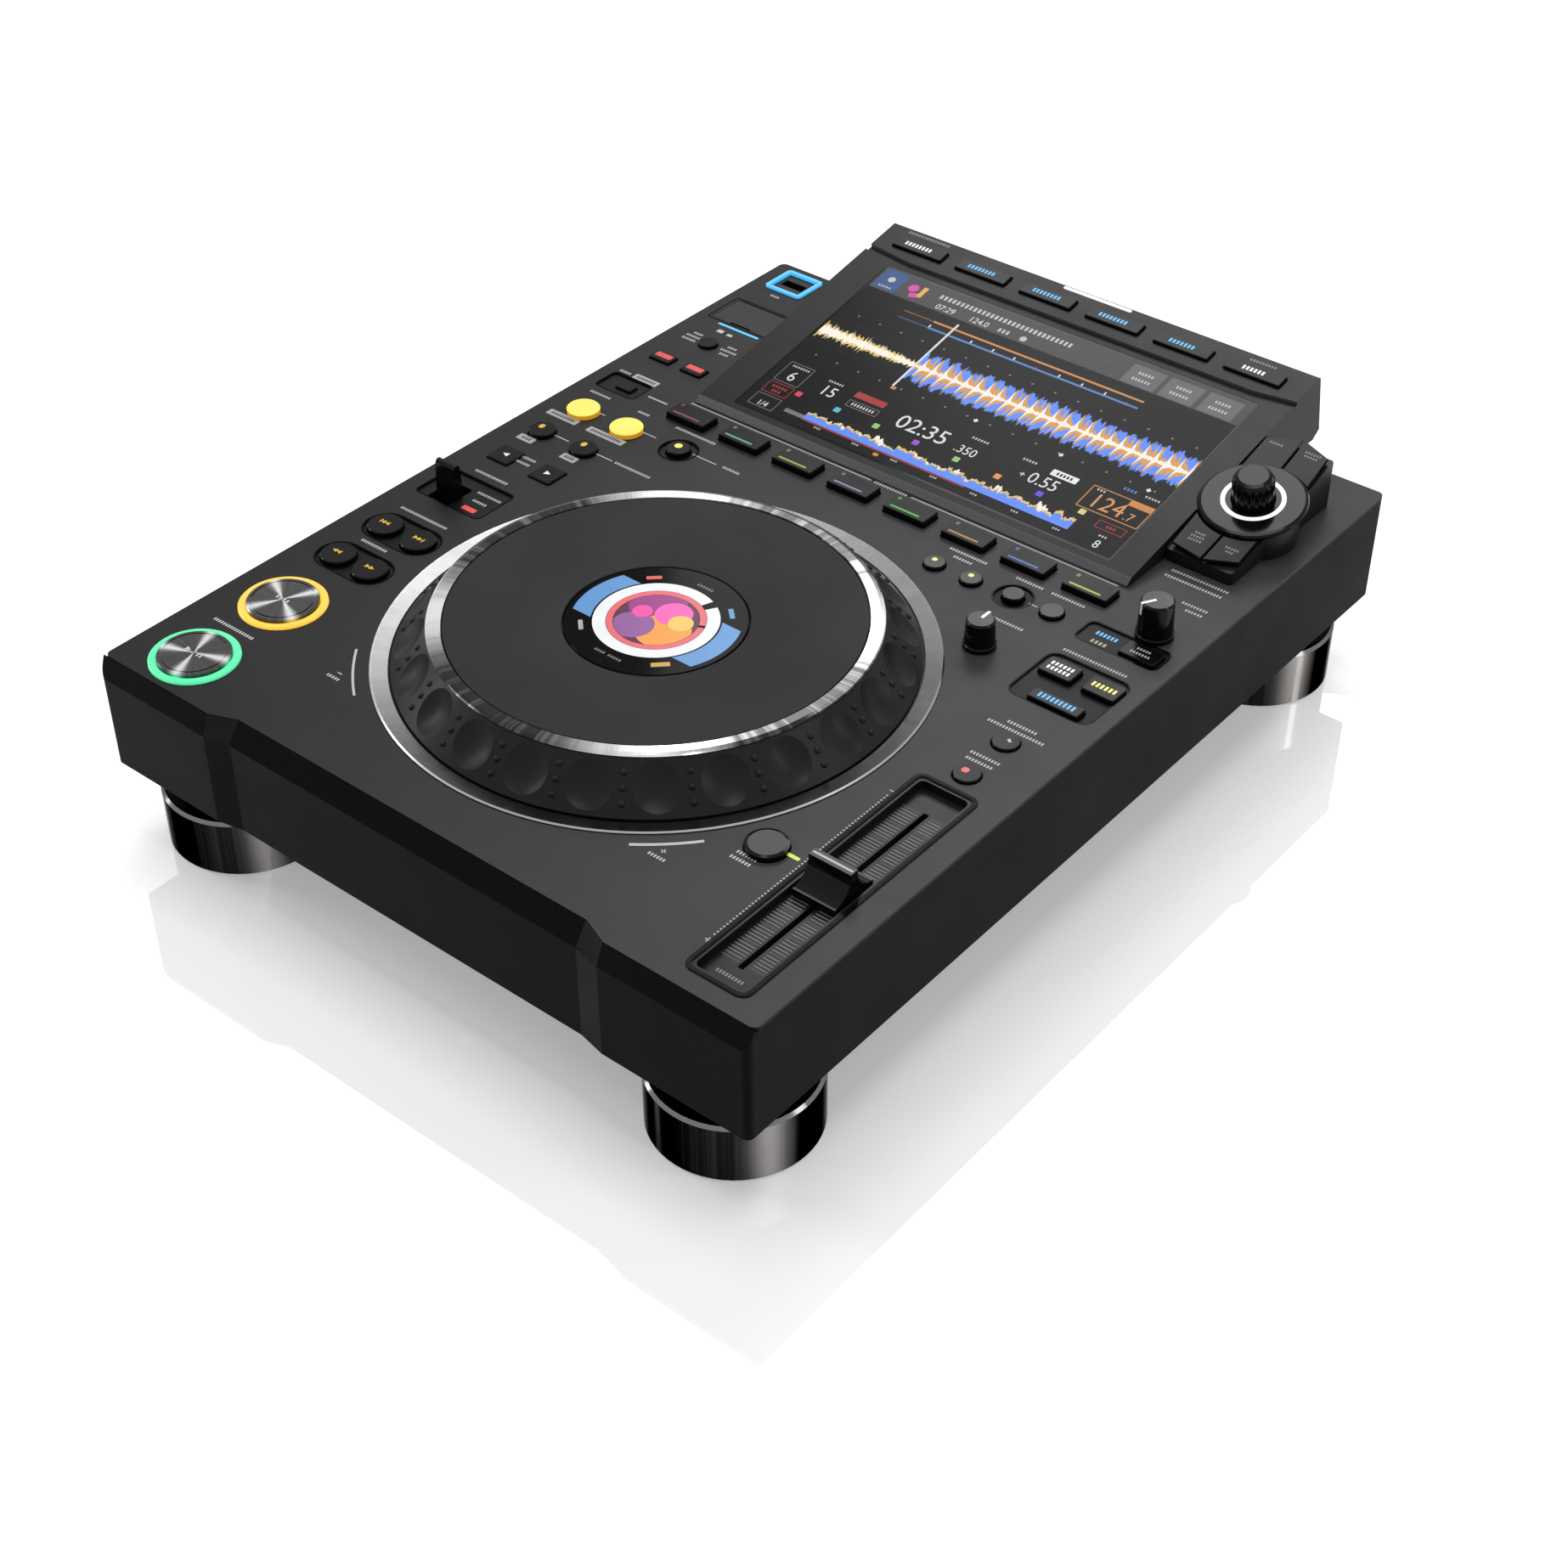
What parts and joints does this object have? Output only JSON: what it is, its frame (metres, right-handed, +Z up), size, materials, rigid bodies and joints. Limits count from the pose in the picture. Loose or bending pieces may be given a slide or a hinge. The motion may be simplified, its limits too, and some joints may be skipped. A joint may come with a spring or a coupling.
{
  "type": "tabletop disc player",
  "caption": "Tabletop media player for DJs: tilted display, large jog wheel, lit keys, tempo fader, selector knob and round feet.",
  "frame": {"origin": "middle of the outline, on the surface that the feet stand on", "axes": "+X to the player's right, +Y to the back, +Z up"},
  "size_m": [0.329, 0.4446, 0.1179],
  "materials": {
    "case_black": "satin",
    "panel_grey": "satin",
    "plain_sheet": "matt",
    "polished_grey": "mirror",
    "chrome": "mirror",
    "brushed_silver": "brushed",
    "plate_grey": "satin",
    "jog_plastic": "satin",
    "key_dark": "satin",
    "key_light": "satin",
    "lamp": "lit",
    "screen_glass": "gloss",
    "display_black": "gloss",
    "board_green": "matt",
    "can_steel": "plain",
    "rubber": "matt"
  },
  "bodies": {
    "player_body": {"lower_case": "case_black", "base_plate": "plain_sheet", "top_panel": "panel_grey", "rear_panel": "plain_sheet", "feet": "polished_grey", "foot_pads": "rubber", "circuit_boards": "board_green", "power_supply": "plain_sheet", "rear_sockets": "display_black", "media_sockets": "display_black", "light_guides": "lamp", "jog_trim_ring": "brushed_silver", "jog_hub": "jog_plastic", "jog_display": "display_black", "display_housing": "case_black", "display_glass": "screen_glass", "lcd_module": "display_black", "selector_housing": "case_black", "selector_collar": "display_black", "fader_deck": "key_dark", "fader_track": "plain_sheet"},
    "jog": {"jog_wheel": "jog_plastic", "jog_chrome_ring": "chrome", "encoder_disc": "display_black"},
    "touch_plate": {"jog_plate": "plate_grey"},
    "fader": {"fader_cap": "key_dark"},
    "lever": {"direction_lever": "key_dark"},
    "jog_adjust": {"jog_adjust_knob": "key_dark"},
    "speed_adjust": {"speed_adjust_knob": "key_dark"},
    "selector_stem": {"selector_shaft": "can_steel"},
    "selector": {"selector_knob": "key_dark"},
    "card_lid": {"card_door": "key_dark"},
    "power": {"power_button": "key_dark"},
    "play_key_body": {"play_key": "brushed_silver"},
    "cue_key_body": {"cue_key": "brushed_silver"},
    "media_stop_key_body": {"media_stop_key": "key_dark"},
    "time_mode_key_body": {"time_mode_key": "key_dark"},
    "reloop_key_body": {"reloop_key": "key_dark"},
    "jog_mode_key_body": {"jog_mode_key": "key_dark"},
    "key_sync_key_body": {"key_sync_key": "key_dark"},
    "tempo_reset_key_body": {"tempo_reset_key": "key_dark"},
    "hot_cue_keys_a_body": {"hot_cue_keys_a": "key_dark"},
    "hot_cue_keys_b_body": {"hot_cue_keys_b": "key_dark"},
    "hot_cue_keys_c_body": {"hot_cue_keys_c": "key_dark"},
    "hot_cue_keys_d_body": {"hot_cue_keys_d": "key_dark"},
    "call_keys_body": {"call_keys": "key_dark"},
    "memory_keys_body": {"memory_keys": "key_dark"},
    "slip_keys_body": {"slip_keys": "key_light"},
    "loop_keys_body": {"loop_keys": "key_dark"},
    "beat_loop_keys_body": {"beat_loop_keys": "key_dark"},
    "beat_jump_keys_body": {"beat_jump_keys": "key_dark"},
    "track_search_keys_body": {"track_search_keys": "key_dark"},
    "search_keys_body": {"search_keys": "key_dark"},
    "sync_keys_body": {"sync_keys": "key_dark"},
    "tempo_keys_body": {"tempo_keys": "key_dark"},
    "menu_keys_a_body": {"menu_keys_a": "key_dark"},
    "menu_keys_b_body": {"menu_keys_b": "key_dark"},
    "menu_keys_c_body": {"menu_keys_c": "key_dark"},
    "selector_keys_front_body": {"selector_keys_front": "key_dark"},
    "selector_keys_back_body": {"selector_keys_back": "key_dark"}
  },
  "joints": [
    {"name": "jog_spin", "type": "hinge", "parent": "player_body", "child": "jog", "pos_m": [0.0005, -0.0807, 0.0863], "axis": [0, 0, 1], "continuous": true},
    {"name": "touch_plate_press", "type": "slide", "parent": "jog", "child": "touch_plate", "axis": [0, 0, 1], "range_m": [-0.0005, 0], "stiffness_N_per_m": 3000, "springref_m": 0.0006},
    {"name": "tempo_fader_slide", "type": "slide", "parent": "player_body", "child": "fader", "axis": [0, 1, 0], "range_m": [-0.04775, 0.05225]},
    {"name": "direction_lever_tilt", "type": "hinge", "parent": "player_body", "child": "lever", "pos_m": [-0.1436, -0.0503, 0.0733], "axis": [1, 0, 0], "range_deg": [-18, 18]},
    {"name": "jog_adjust_turn", "type": "hinge", "parent": "player_body", "child": "jog_adjust", "pos_m": [0.0956, 0.0013, 0.0863], "axis": [0, 0, 1], "range_deg": [-150, 150]},
    {"name": "speed_adjust_turn", "type": "hinge", "parent": "player_body", "child": "speed_adjust", "pos_m": [0.1448, 0.0502, 0.0863], "axis": [0, 0, 1], "range_deg": [-150, 150]},
    {"name": "selector_press", "type": "slide", "parent": "player_body", "child": "selector_stem", "axis": [0, -0.1934, 0.9811], "range_m": [-0.0007, 0], "stiffness_N_per_m": 600, "springref_m": 0.001},
    {"name": "selector_turn", "type": "hinge", "parent": "selector_stem", "child": "selector", "pos_m": [0.136, 0.1357, 0.10203], "axis": [0, -0.1934, 0.9811], "continuous": true},
    {"name": "card_door_lift", "type": "hinge", "parent": "player_body", "child": "card_lid", "pos_m": [-0.14, 0.1557, 0.0855], "axis": [-1, 0, 0], "range_deg": [0, 95]},
    {"name": "power_button_press", "type": "slide", "parent": "player_body", "child": "power", "axis": [0, 1, 0], "range_m": [-0.002, 0], "stiffness_N_per_m": 400, "springref_m": 0.0015},
    {"name": "play_key_press", "type": "slide", "parent": "player_body", "child": "play_key_body", "axis": [0, 0, 1], "range_m": [-0.0012, 0], "stiffness_N_per_m": 300, "springref_m": 0.0015},
    {"name": "cue_key_press", "type": "slide", "parent": "player_body", "child": "cue_key_body", "axis": [0, 0, 1], "range_m": [-0.0012, 0], "stiffness_N_per_m": 300, "springref_m": 0.0015},
    {"name": "media_stop_key_press", "type": "slide", "parent": "player_body", "child": "media_stop_key_body", "axis": [0, 0, 1], "range_m": [-0.0008, 0], "stiffness_N_per_m": 300, "springref_m": 0.0015},
    {"name": "time_mode_key_press", "type": "slide", "parent": "player_body", "child": "time_mode_key_body", "axis": [0, 0, 1], "range_m": [-0.0008, 0], "stiffness_N_per_m": 300, "springref_m": 0.0015},
    {"name": "reloop_key_press", "type": "slide", "parent": "player_body", "child": "reloop_key_body", "axis": [0, 0, 1], "range_m": [-0.0008, 0], "stiffness_N_per_m": 300, "springref_m": 0.0015},
    {"name": "jog_mode_key_press", "type": "slide", "parent": "player_body", "child": "jog_mode_key_body", "axis": [0, 0, 1], "range_m": [-0.0008, 0], "stiffness_N_per_m": 300, "springref_m": 0.0015},
    {"name": "key_sync_key_press", "type": "slide", "parent": "player_body", "child": "key_sync_key_body", "axis": [0, 0, 1], "range_m": [-0.0008, 0], "stiffness_N_per_m": 300, "springref_m": 0.0015},
    {"name": "tempo_reset_key_press", "type": "slide", "parent": "player_body", "child": "tempo_reset_key_body", "axis": [0, 0, 1], "range_m": [-0.0008, 0], "stiffness_N_per_m": 300, "springref_m": 0.0015},
    {"name": "hot_cue_keys_a_rock", "type": "hinge", "parent": "player_body", "child": "hot_cue_keys_a_body", "pos_m": [-0.08732, 0.059, 0.0829], "axis": [0, 1, 0], "range_deg": [-3.04, 3.04], "stiffness_Nm_per_rad": 0.13635},
    {"name": "hot_cue_keys_b_rock", "type": "hinge", "parent": "player_body", "child": "hot_cue_keys_b_body", "pos_m": [-0.02703, 0.059, 0.0829], "axis": [0, 1, 0], "range_deg": [-3.04, 3.04], "stiffness_Nm_per_rad": 0.13635},
    {"name": "hot_cue_keys_c_rock", "type": "hinge", "parent": "player_body", "child": "hot_cue_keys_c_body", "pos_m": [0.03327, 0.059, 0.0829], "axis": [0, 1, 0], "range_deg": [-3.04, 3.04], "stiffness_Nm_per_rad": 0.13635},
    {"name": "hot_cue_keys_d_rock", "type": "hinge", "parent": "player_body", "child": "hot_cue_keys_d_body", "pos_m": [0.09358, 0.059, 0.0829], "axis": [0, 1, 0], "range_deg": [-3.04, 3.04], "stiffness_Nm_per_rad": 0.13635},
    {"name": "call_keys_rock", "type": "hinge", "parent": "player_body", "child": "call_keys_body", "pos_m": [0.05775, 0.0352, 0.0829], "axis": [0, 1, 0], "range_deg": [-5.02, 5.02], "stiffness_Nm_per_rad": 0.05023},
    {"name": "memory_keys_rock", "type": "hinge", "parent": "player_body", "child": "memory_keys_body", "pos_m": [0.09595, 0.0369, 0.0829], "axis": [0, 1, 0], "range_deg": [-4.91, 4.91], "stiffness_Nm_per_rad": 0.05245},
    {"name": "slip_keys_rock", "type": "hinge", "parent": "player_body", "child": "slip_keys_body", "pos_m": [-0.13875, 0.0918, 0.0829], "axis": [0, 1, 0], "range_deg": [-4.91, 4.91], "stiffness_Nm_per_rad": 0.05245},
    {"name": "loop_keys_rock", "type": "hinge", "parent": "player_body", "child": "loop_keys_body", "pos_m": [-0.1318, 0.0342, 0.0829], "axis": [0, 1, 0], "range_deg": [-3.58, 3.58], "stiffness_Nm_per_rad": 0.0983},
    {"name": "beat_loop_keys_rock", "type": "hinge", "parent": "player_body", "child": "beat_loop_keys_body", "pos_m": [-0.1342, 0.0097, 0.0829], "axis": [0, 1, 0], "range_deg": [-3.73, 3.73], "stiffness_Nm_per_rad": 0.09077},
    {"name": "beat_jump_keys_rock", "type": "hinge", "parent": "player_body", "child": "beat_jump_keys_body", "pos_m": [-0.1328, -0.0147, 0.0829], "axis": [0, 1, 0], "range_deg": [-3.73, 3.73], "stiffness_Nm_per_rad": 0.09077},
    {"name": "track_search_keys_rock", "type": "hinge", "parent": "player_body", "child": "track_search_keys_body", "pos_m": [-0.1357, -0.0862, 0.0829], "axis": [0, 1, 0], "range_deg": [-4.78, 4.78], "stiffness_Nm_per_rad": 0.0553},
    {"name": "search_keys_rock", "type": "hinge", "parent": "player_body", "child": "search_keys_body", "pos_m": [-0.1354, -0.1134, 0.0829], "axis": [0, 1, 0], "range_deg": [-4.99, 4.99], "stiffness_Nm_per_rad": 0.05078},
    {"name": "sync_keys_rock", "type": "hinge", "parent": "player_body", "child": "sync_keys_body", "pos_m": [0.1399, 0.0071, 0.0829], "axis": [0, 1, 0], "range_deg": [-4.59, 4.59], "stiffness_Nm_per_rad": 0.06},
    {"name": "tempo_keys_rock", "type": "hinge", "parent": "player_body", "child": "tempo_keys_body", "pos_m": [0.1396, -0.05505, 0.0829], "axis": [-1, 0, 0], "range_deg": [-3.74, 3.74], "stiffness_Nm_per_rad": 0.09004},
    {"name": "menu_keys_a_rock", "type": "hinge", "parent": "player_body", "child": "menu_keys_a_body", "pos_m": [-0.0691, 0.20585, 0.11158], "axis": [0, 0.9811, 0.1934], "range_deg": [-2.23, 2.23], "stiffness_Nm_per_rad": 0.19494},
    {"name": "menu_keys_b_rock", "type": "hinge", "parent": "player_body", "child": "menu_keys_b_body", "pos_m": [0.003, 0.20585, 0.11158], "axis": [0, 0.9811, 0.1934], "range_deg": [-2.23, 2.23], "stiffness_Nm_per_rad": 0.19494},
    {"name": "menu_keys_c_rock", "type": "hinge", "parent": "player_body", "child": "menu_keys_c_body", "pos_m": [0.0751, 0.20585, 0.11158], "axis": [0, 0.9811, 0.1934], "range_deg": [-2.23, 2.23], "stiffness_Nm_per_rad": 0.19494},
    {"name": "selector_keys_front_rock", "type": "hinge", "parent": "player_body", "child": "selector_keys_front_body", "pos_m": [0.136, 0.10746, 0.09015], "axis": [0, 0.9811, 0.1934], "range_deg": [-2.87, 2.87], "stiffness_Nm_per_rad": 0.0384},
    {"name": "selector_keys_back_rock", "type": "hinge", "parent": "player_body", "child": "selector_keys_back_body", "pos_m": [0.136, 0.16829, 0.10214], "axis": [0, 0.9811, 0.1934], "range_deg": [-2.87, 2.87], "stiffness_Nm_per_rad": 0.0384}
  ]
}
